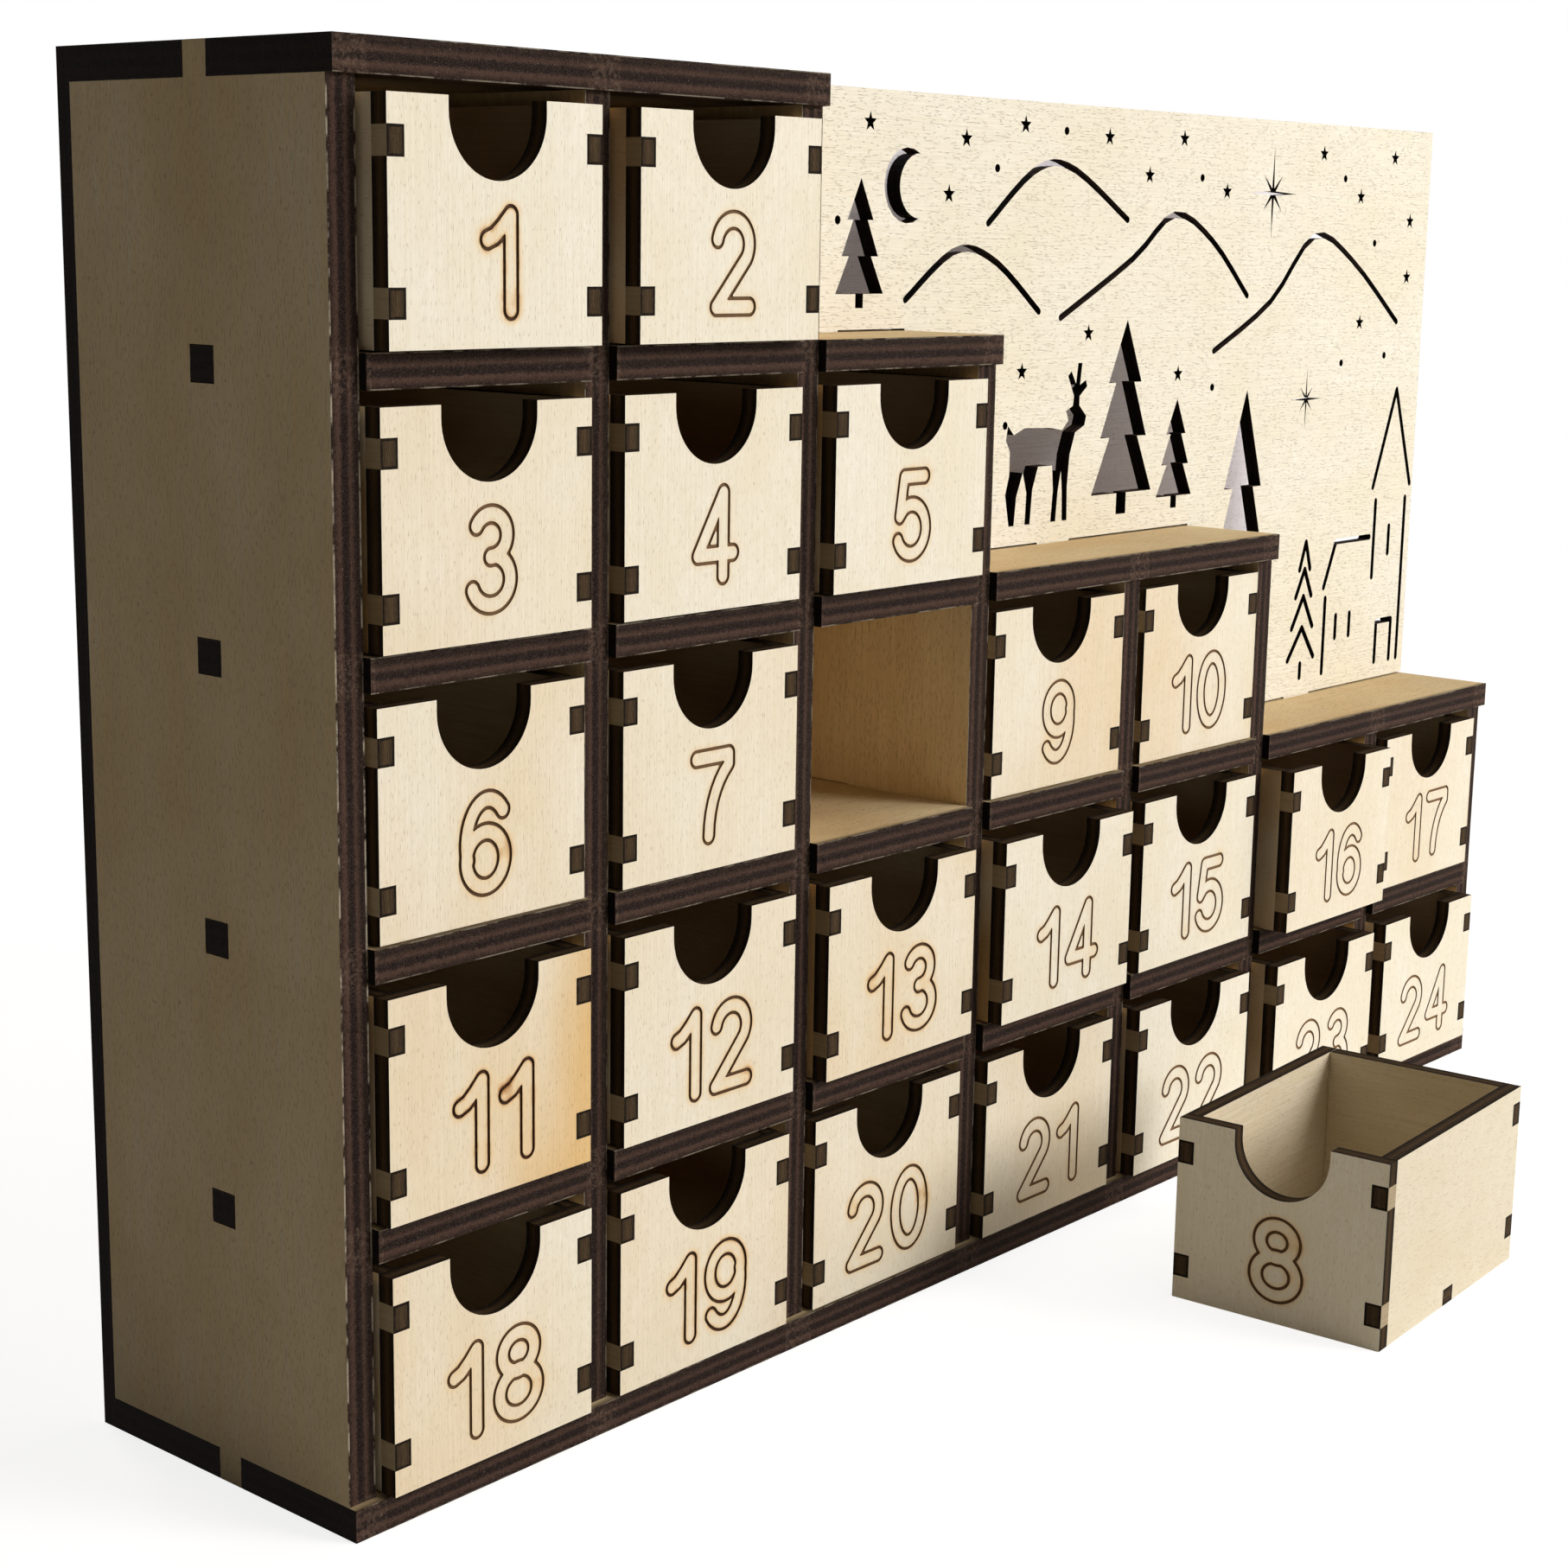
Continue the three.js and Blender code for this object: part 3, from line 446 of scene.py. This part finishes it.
def makePanels():
    s, k, over = drawer["sheet"], drawer["kerf"], drawer["overrun"]
    half = drawer["tabHeight"] / 2
    frontTabs = (drawer["frontTabInset"], height - drawer["frontTabInset"])
    rearTabs = (drawer["rearTabRise"], height - drawer["rearTabDrop"])
    floorFrom, floorTo = depth / 2 - drawer["floorTab"] / 2, depth / 2 + drawer["floorTab"] / 2

    # Front: a fine mesh that can hold scorch marks, notches for the side walls' tabs, and the finger notch
    clearSelection()
    cells = [round(side / drawer["scorchCell"]) for side in (width, height)]
    bpy.ops.mesh.primitive_grid_add(x_subdivisions=cells[0], y_subdivisions=cells[1], size=1,
                                    location=(width / 2, 0, height / 2), rotation=(math.pi / 2, 0, 0))
    front = bpy.context.object
    front.scale = (width, height, 1)
    bpy.ops.object.transform_apply(location=True, rotation=True, scale=True)
    bpy.ops.object.mode_set(mode="EDIT")
    bpy.ops.mesh.select_all(action="SELECT")
    bpy.ops.mesh.extrude_region_move(TRANSFORM_OT_translate={"value": (0, s, 0)})
    bpy.ops.mesh.dissolve_limited(angle_limit=drawer["flatAngle"])
    bpy.ops.mesh.select_all(action="SELECT")
    bpy.ops.mesh.normals_make_consistent(inside=False)
    bpy.ops.object.mode_set(mode="OBJECT")
    notches = []
    for x in (-over, width - s - k):
        for z in frontTabs:
            notches.append(addBlock((x, -over, z - half - k), (x + s + k + over, s + over, z + half + k)))
    radius = drawer["fingerWidth"] / 2
    centreZ = height - drawer["fingerDepth"] + radius
    clearSelection()
    bpy.ops.mesh.primitive_cylinder_add(vertices=drawer["fingerSides"], radius=radius, depth=s + 2 * over,
                                        location=(width / 2, s / 2, centreZ), rotation=(math.pi / 2, 0, 0))
    bpy.ops.object.transform_apply(location=True, rotation=True, scale=True)
    finger = bpy.context.object
    cutAway(front, notches)
    cutAway(front, [finger])
    cutAway(front, [addBlock((width / 2 - radius, -over, centreZ), (width / 2 + radius, s + over, height + over))])
    setSheetPlace(front, (0, 0, 0), (2, 0, 1))
    finishFaces(front, axisY, -1)

    # Side walls: the front edge is cut back between the tabs, with slots for the rear wall and the floor
    walls = []
    for x in (0, width - s):
        wall = addBlock((x, 0, 0), (x + s, depth, height))
        levels = [-over]
        for z in frontTabs:
            levels += [z - half, z + half]
        levels.append(height + over)
        cutters = [addBlock((x - over, -over, levels[i]), (x + s + over, s + k, levels[i + 1])) for i in (0, 2, 4)]
        for z in rearTabs:
            cutters.append(addBlock((x - over, depth - s - k, z - half - k),
                                    (x + s + over, depth + over, z + half + k)))
        cutters.append(addBlock((x - over, floorFrom - k, -over), (x + s + over, floorTo + k, s + k)))
        cutAway(wall, cutters)
        setSheetPlace(wall, (x, 0, 0), (1, 2, 0))
        clearSelection()
        bpy.context.view_layer.objects.active = wall
        bpy.ops.object.mode_set(mode="EDIT")
        bpy.ops.mesh.select_all(action="SELECT")
        bpy.ops.mesh.bisect(plane_co=(0, s + k, 0), plane_no=(0, 1, 0), threshold=onPlane)
        bpy.ops.object.mode_set(mode="OBJECT")
        finishFaces(wall, axisX, -1 if x == 0 else 1, sidePly)
        for face in wall.data.polygons:  # the small front tabs get the darker tab finish all round: laser smoke plus painted shade
            if face.center.y < s and abs(face.normal.x) > 0.5:
                face.material_index = finishes.index(singedAndShadedTab)
        charTabEnds(wall, axisY)
        walls.append(wall)

    # Rear wall and floor: their ends are cut back but for the tabs
    rear = addBlock((0, depth - s, 0), (width, depth, height))
    levels = [-over]
    for z in rearTabs:
        levels += [z - half, z + half]
    levels.append(height + over)
    cutters = []
    for low, high in ((-over, s + k), (width - s - k, width + over)):
        for i in (0, 2, 4):
            cutters.append(addBlock((low, depth - s - over, levels[i]), (high, depth + over, levels[i + 1])))
    cutAway(rear, cutters)
    setSheetPlace(rear, (0, depth - s, 0), (0, 2, 1))
    finishFaces(rear, axisY, 1)
    charTabEnds(rear, axisX)

    base = addBlock((0, s + k, 0), (width, depth - s - k, s))
    cutters = []
    for low, high in ((-over, s + k), (width - s - k, width + over)):
        cutters.append(addBlock((low, -over, -over), (high, floorFrom, s + over)))
        cutters.append(addBlock((low, floorTo, -over), (high, depth + over, s + over)))
    cutAway(base, cutters)
    setSheetPlace(base, (0, 0, 0), (1, 0, 2))
    finishFaces(base, axisZ, -1)
    charTabEnds(base, axisX)
    return {"front": front, "left_wall": walls[0], "right_wall": walls[1], "rear_wall": rear, "floor": base}


# Numbers: each digit is the outline round a stroke with round ends, engraved as a thin burnt line
digits = {
    "height": 15.3 * mm, "stroke": 2.5 * mm, "line": 0.55 * mm, "cut": 0.25 * mm, "cell": 0.25 * mm,
    "gap": 2.2 * mm, "centre": 11.6 * mm, "rise": 0.1 * mm, "arcStep": 9, "dotStep": 0.05 * mm,
    "weld": 0.002 * mm, "flatAngle": math.radians(3),
    "fringe": 0.5 * mm, "fringeHeat": 0.65, "bandHeat": 0.2,
    "plume": 2 * mm, "plumeRise": 0.8 * mm, "plumeHeat": 0.5, "plumeChance": (-0.5, 1),
}


def bow(x, y, radiusX, radiusY, start, end):
    count = math.ceil(abs(end - start) / digits["arcStep"])
    angles = [math.radians(start + (end - start) * i / count) for i in range(count + 1)]
    return [(x + radiusX * math.cos(a), y + radiusY * math.sin(a)) for a in angles]


digitStrokes = {  # width as a share of the height, then centre lines as shares of both
    "0": (0.6, [bow(0.5, 0.5, 0.5, 0.5, 0, 360)]),
    "1": (0.34, [[(0, 0.74), (0.3, 0.78), (0.65, 0.88), (1, 1), (1, 0)]]),
    "2": (0.58, [bow(0.5, 0.72, 0.48, 0.28, 168, -36) + [(0, 0), (1, 0)]]),
    "3": (0.58, [bow(0.5, 0.765, 0.42, 0.235, 150, -90), bow(0.5, 0.275, 0.5, 0.275, 72, -160)]),
    "4": (0.62, [[(0.72, 0), (0.72, 1), (0, 0.27), (1, 0.27)]]),
    "5": (0.58, [[(0.92, 1), (0.2, 1), (0.06, 0.5)] + bow(0.48, 0.32, 0.52, 0.32, 120, -155)]),
    "6": (0.58, [bow(0.5, 0.315, 0.5, 0.315, 0, 360), bow(0.56, 0.5, 0.56, 0.5, 44, 200)]),
    "7": (0.58, [[(0, 1), (1, 1)] + bow(1.72, 0.02, 1.32, 1.02, 123, 180)]),
    "8": (0.6, [bow(0.5, 0.765, 0.42, 0.235, 0, 360), bow(0.5, 0.275, 0.5, 0.275, 0, 360)]),
    "9": (0.58, [bow(0.5, 0.685, 0.5, 0.315, 0, 360), bow(0.44, 0.5, 0.56, 0.5, -136, 20)]),
}


def digitPath(digit):
    share, strokes = digitStrokes[digit]
    body = digits["height"] - digits["stroke"]
    wide = share * body
    return [[Vector((x * wide, y * body)) for x, y in stroke] for stroke in strokes], wide


def strokeTree(lines):  # finds how far a point is from the centre lines
    dots = []
    for line in lines:
        for start, end in zip(line, line[1:]):
            steps = math.ceil((end - start).length / digits["dotStep"])
            dots += [start.lerp(end, i / steps) for i in range(steps + 1)]
    tree = KDTree(len(dots))
    for index, dot in enumerate(dots):
        tree.insert((dot.x, dot.y, 0), index)
    tree.balance()
    return tree


def makeDigitCutter(digit):
    # A grid raised by its distance from the stroke and sliced at two heights leaves the line round the digit
    lines, wide = digitPath(digit)
    near = strokeTree(lines)
    margin = digits["stroke"] / 2 + digits["line"] + 2 * digits["cell"]
    body = digits["height"] - digits["stroke"]
    clearSelection()
    acrossCells = round((wide + 2 * margin) / digits["cell"])
    upCells = round((body + 2 * margin) / digits["cell"])
    bpy.ops.mesh.primitive_grid_add(x_subdivisions=acrossCells, y_subdivisions=upCells, size=1,
                                    location=(wide / 2, body / 2, 0))
    cutter = bpy.context.object
    cutter.scale = (wide + 2 * margin, body + 2 * margin, 1)
    bpy.ops.object.transform_apply(location=True, rotation=True, scale=True)
    for point in cutter.data.vertices:
        point.co.z = near.find((point.co.x, point.co.y, 0))[2]
    bpy.ops.object.mode_set(mode="EDIT")
    inner, outer = digits["stroke"] / 2 - digits["line"] / 2, digits["stroke"] / 2 + digits["line"] / 2
    bpy.ops.mesh.select_all(action="SELECT")
    bpy.ops.mesh.bisect(plane_co=(0, 0, inner), plane_no=(0, 0, 1), clear_inner=True, threshold=onPlane)
    bpy.ops.mesh.select_all(action="SELECT")
    bpy.ops.mesh.bisect(plane_co=(0, 0, outer), plane_no=(0, 0, 1), clear_outer=True, threshold=onPlane)
    bpy.ops.object.mode_set(mode="OBJECT")
    for point in cutter.data.vertices:
        point.co.z = -digits["rise"]
    bpy.ops.object.mode_set(mode="EDIT")
    bpy.ops.mesh.select_all(action="SELECT")
    bpy.ops.mesh.remove_doubles(threshold=digits["weld"])
    bpy.ops.mesh.dissolve_limited(angle_limit=digits["flatAngle"])
    bpy.ops.mesh.extrude_region_move(TRANSFORM_OT_translate={"value": (0, 0, digits["rise"] + digits["cut"])})
    bpy.ops.mesh.select_all(action="SELECT")
    bpy.ops.mesh.normals_make_consistent(inside=False)
    bpy.ops.object.mode_set(mode="OBJECT")
    return cutter, wide, near


panels = makePanels()
digitCutters = {digit: makeDigitCutter(digit) for digit in digitStrokes}
print("drawer panels and digits modelled")

# Stands a flat digit up against the front, its depth pointing into the panel
uprightTurn = Matrix(((1, 0, 0, 0), (0, 0, 1, 0), (0, 1, 0, 0), (0, 0, 0, 1)))


def engraveNumber(front, number):
    text = str(number)
    stroke = digits["stroke"]
    total = sum(digitCutters[digit][1] + stroke for digit in text) + digits["gap"] * (len(text) - 1)
    x = width / 2 - total / 2 + stroke / 2
    z = digits["centre"] - (digits["height"] - stroke) / 2
    marks = []
    for digit in text:
        cutter, wide, near = digitCutters[digit]
        copy = cutter.copy()
        copy.data = cutter.data.copy()
        bpy.context.collection.objects.link(copy)
        copy.data.transform(Matrix.Translation((x, 0, z)) @ uprightTurn)
        copy.data.flip_normals()
        cutAway(front, [copy])
        plumes = []
        for line in digitPath(digit)[0]:
            for end in (line[0], line[-1]):
                centre = Vector((end.x + x, 0, end.y + z + digits["plumeRise"]))
                plumes.append((centre, random.uniform(*digits["plumeChance"])))
        marks.append((near, x, z, plumes))
        x += wide + stroke + digits["gap"]
    for face in front.data.polygons:
        deepest = max(front.data.vertices[index].co.y for index in face.vertices)
        if digits["cut"] * 0.5 < deepest < digits["cut"] * 1.5:
            face.material_index = finishes.index(scorchedLine)
    heats = [heatAt(point.co, marks) for point in front.data.vertices]
    front.data.attributes.new("scorch", "FLOAT", "POINT").data.foreach_set("value", heats)
    return front


def heatAt(point, marks):  # hottest beside the line, a little warm inside the figure, smoke over the stroke's ends
    heat = 0.0
    for near, left, low, plumes in marks:
        distance = near.find((point.x - left, point.z - low, 0))[2]
        beside = max(0.0, abs(distance - digits["stroke"] / 2) - digits["line"] / 2)
        heat = max(heat, digits["fringeHeat"] * math.exp(-beside / digits["fringe"]))
        if distance < digits["stroke"] / 2:
            heat = max(heat, digits["bandHeat"])
        for centre, strength in plumes:
            away = (point - centre).length / digits["plume"]
            heat += max(0.0, strength) * digits["plumeHeat"] * math.exp(-away * away)
    return heat


# No two panels are alike. brownFronts gives how brown a front is at its left and its right edge, and deepBurns
# how strongly a number is burnt
variety = {
    # seatedBrown is painted shade: how much browner the panels of a drawer seated in the case are
    "shift": 1.0, "brown": 0.3, "seatedBrown": 0.7, "burn": (0.4, 0.75),
    "brownFronts": {6: (0.4, 0.4), 8: (0, 0), 9: (0.5, 0.5), 10: (0.4, 0.4), 11: (0.3, 1.25), 13: (0.5, 0.5),
                    18: (0.6, 0.1), 19: (0.3, 0.3)},
    "deepBurns": {1: 0.9, 8: 0.7, 9: 0.4, 10: 0.35, 11: 1.0, 12: 0.8, 13: 0.85, 15: 0.35, 16: 0.2, 17: 0.3, 19: 1.0,
                  22: 0.3, 23: 0.15, 24: 0.25},
}


def placeDrawer(number, matrix, body, nodes):
    seated = len(nodes) == 1
    for part, source in panels.items():
        piece = source.copy()
        piece.data = source.data.copy()
        bpy.context.collection.objects.link(piece)
        piece.name = "drawer_%02d_%s" % (number, "numbered_front" if part == "front" else part)
        if part == "front":
            engraveNumber(piece, number)
            piece.data.attributes.remove(piece.data.attributes["sheet"])
            setSheetPlace(piece, (0, 0, 0), (2, 0, 1))
        # Each panel is cut from its own spot of the sheet
        reach = variety["shift"]
        shift = (random.uniform(-reach, reach), random.uniform(-reach, reach), 0)
        layer = piece.data.attributes["sheet"]
        values = [0.0] * (3 * len(layer.data))
        layer.data.foreach_get("vector", values)
        layer.data.foreach_set("vector", [value + shift[i % 3] for i, value in enumerate(values)])
        browner = random.uniform(0, variety["brown"])
        left, right = browner, browner
        if part == "front":
            left, right = variety["brownFronts"].get(number, (browner, browner))
        elif seated:  # painted shade: the panels of a drawer seated in the case are browned darker than the loose drawer's
            left = right = browner + variety["seatedBrown"]
        burn = variety["deepBurns"].get(number, random.uniform(*variety["burn"]))
        tones = [left + (right - left) * point.co.x / width for point in piece.data.vertices]
        for key, values in (("tone", tones), ("burn", [burn] * len(tones))):
            piece.data.attributes.new(key, "FLOAT", "POINT").data.foreach_set("value", values)
        piece.data.transform(matrix)
        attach(piece, body)
    # A seated drawer is one node of the CAD part, the loose one has a node for each panel
    for index, part in enumerate(("front", "left_wall", "right_wall", "rear_wall", "floor")):
        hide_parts(nodes[0] if seated else nodes[index])


looseDrawer = {"number": 8, "corner": (-8.5 * mm, -64.6 * mm, 0), "turn": math.radians(-86.1)}
for number in range(1, 25):
    node = "drawer_%02d" % number
    if number == looseDrawer["number"]:
        place = Matrix.Translation(looseDrawer["corner"]) @ Matrix.Rotation(looseDrawer["turn"], 4, "Z")
        parts = [node + end for end in ("_front", "_left_side", "_right_side", "_back", "_bottom")]
        placeDrawer(number, place, "loose_drawer", parts)
    else:
        placeDrawer(number, Matrix.Translation(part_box(node)[0]), node, [node])
for piece in list(panels.values()) + [parts[0] for parts in digitCutters.values()]:
    bpy.data.objects.remove(piece)
print("drawers placed")


# Pale floor and soft light from the front right, as in a plain studio
studio = {
    "floorSize": 6.0, "floorRough": 0.9, "floorBounce": "#E2DCD0", "floorSeen": "#A09E9A", "floorGlow": 0.84,
    "fadeFrom": 0.35, "fadeTo": 0.95,
    "keyPlace": (2.2, -3.85, 1.75), "keySize": 2.2, "keyPower": 173,
    "topPlace": (0.3, -0.5, 1.7), "topSize": 1.0, "topPower": 5,
    "sidePlace": (1.5, -0.8, 0.45), "sideSize": 0.6, "sidePower": 11,
    "rearPlace": (0.4, 1.8, 0.6), "rearSize": 0.9, "rearPower": 16,
    "aim": (0, 0, 0.09), "worldTone": "#E9E4DC", "worldStrength": 0.07,
}


def makeFloor():
    # White paper: the camera sees it white with the shadow on it, and it throws a warm grey light back up
    clearSelection()
    bpy.ops.mesh.primitive_plane_add(size=studio["floorSize"], location=(0, 0, 0))
    floor = bpy.context.object
    floor.name = "studio_floor"
    material, tree, shader = newMaterial("white studio floor")
    shader.inputs["Base Color"].default_value = linear(studio["floorBounce"])
    shader.inputs["Roughness"].default_value = studio["floorRough"]
    place = addNode(tree, "ShaderNodeTexCoord")
    reach = addNode(tree, "ShaderNodeVectorMath", operation="LENGTH", links={0: place.outputs["Object"]})
    fade = addNode(tree, "ShaderNodeMapRange", {"From Min": studio["fadeFrom"], "From Max": studio["fadeTo"]},
                   {"Value": reach.outputs["Value"]}, interpolation_type="SMOOTHSTEP")
    paper = addNode(tree, "ShaderNodeBsdfDiffuse", {"Color": linear(studio["floorSeen"])})
    glow = addNode(tree, "ShaderNodeEmission", {"Color": (1, 1, 1, 1), "Strength": studio["floorGlow"]})
    white = addNode(tree, "ShaderNodeEmission", {"Color": (1, 1, 1, 1), "Strength": 1.0})
    near = addNode(tree, "ShaderNodeAddShader", links={0: paper.outputs[0], 1: glow.outputs[0]})
    seen = addNode(tree, "ShaderNodeMixShader", links={0: fade.outputs[0], 1: near.outputs[0], 2: white.outputs[0]})
    ray = addNode(tree, "ShaderNodeLightPath")
    direct = sums(tree, "MAXIMUM", ray.outputs["Is Camera Ray"], ray.outputs["Is Glossy Ray"])
    blend = addNode(tree, "ShaderNodeMixShader", links={0: direct, 1: shader.outputs[0], 2: seen.outputs[0]})
    output = next(node for node in tree.nodes if node.type == "OUTPUT_MATERIAL")
    tree.links.new(blend.outputs[0], output.inputs["Surface"])
    floor.data.materials.append(material)


def addSoftbox(name, place, size, power, tone):
    clearSelection()
    bpy.ops.object.light_add(type="AREA", location=place)
    lamp = bpy.context.object
    lamp.name = name
    lamp.data.shape = "DISK"
    lamp.data.size = size
    lamp.data.energy = power
    lamp.data.color = linear(tone)[:3]
    aim = Vector(studio["aim"]) - Vector(place)
    lamp.rotation_euler = aim.to_track_quat("-Z", "Y").to_euler()


def makeWorld():
    world = bpy.data.worlds.new("studio surround")
    bpy.context.scene.world = world
    world.use_nodes = True
    tree = world.node_tree
    tree.nodes.clear()
    ray = addNode(tree, "ShaderNodeLightPath")
    seen = sums(tree, "MAXIMUM", ray.outputs["Is Camera Ray"],
                sums(tree, "MAXIMUM", ray.outputs["Is Glossy Ray"], ray.outputs["Is Transmission Ray"]))
    room = addNode(tree, "ShaderNodeBackground", {"Color": linear(studio["worldTone"]),
                                                  "Strength": studio["worldStrength"]})
    white = addNode(tree, "ShaderNodeBackground", {"Color": (1, 1, 1, 1), "Strength": 1.0})
    blend = addNode(tree, "ShaderNodeMixShader", links={0: seen, 1: room.outputs[0], 2: white.outputs[0]})
    addNode(tree, "ShaderNodeOutputWorld", links={"Surface": blend.outputs[0]})


# Where the photographer stood, in degrees, and a lens in millimetres of a full-frame sensor
cameraFit = {"place": (-405.32 * mm, -312.39 * mm, 185.27 * mm), "yaw": 49.302, "pitch": 11.358, "roll": 0.901,
             "lens": 62.79, "sensor": 36.0}


def makeCamera():
    clearSelection()
    bpy.ops.object.camera_add()
    camera = bpy.context.object
    yaw, pitch, roll = (math.radians(cameraFit[angle]) for angle in ("yaw", "pitch", "roll"))
    ahead = Vector((math.sin(yaw) * math.cos(pitch), math.cos(yaw) * math.cos(pitch), -math.sin(pitch)))
    right = Vector((math.cos(yaw), -math.sin(yaw), 0))
    up = right.cross(ahead)
    across = math.cos(roll) * right + math.sin(roll) * up
    upward = -math.sin(roll) * right + math.cos(roll) * up
    turn = Matrix((across, upward, -ahead)).transposed().to_4x4()
    camera.matrix_world = Matrix.Translation(cameraFit["place"]) @ turn
    camera.data.sensor_width = cameraFit["sensor"]
    camera.data.lens = cameraFit["lens"]
    bpy.context.scene.camera = camera


makeFloor()
addSoftbox("key softbox", studio["keyPlace"], studio["keySize"], studio["keyPower"], "#FFFFFF")
addSoftbox("side softbox", studio["sidePlace"], studio["sideSize"], studio["sidePower"], "#FFFAF2")
addSoftbox("rear softbox", studio["rearPlace"], studio["rearSize"], studio["rearPower"], "#FFFFFF")
addSoftbox("top softbox", studio["topPlace"], studio["topSize"], studio["topPower"], "#FFFFFF")
makeWorld()
makeCamera()
bpy.context.scene.view_settings.view_transform = "Standard"
print("studio ready")
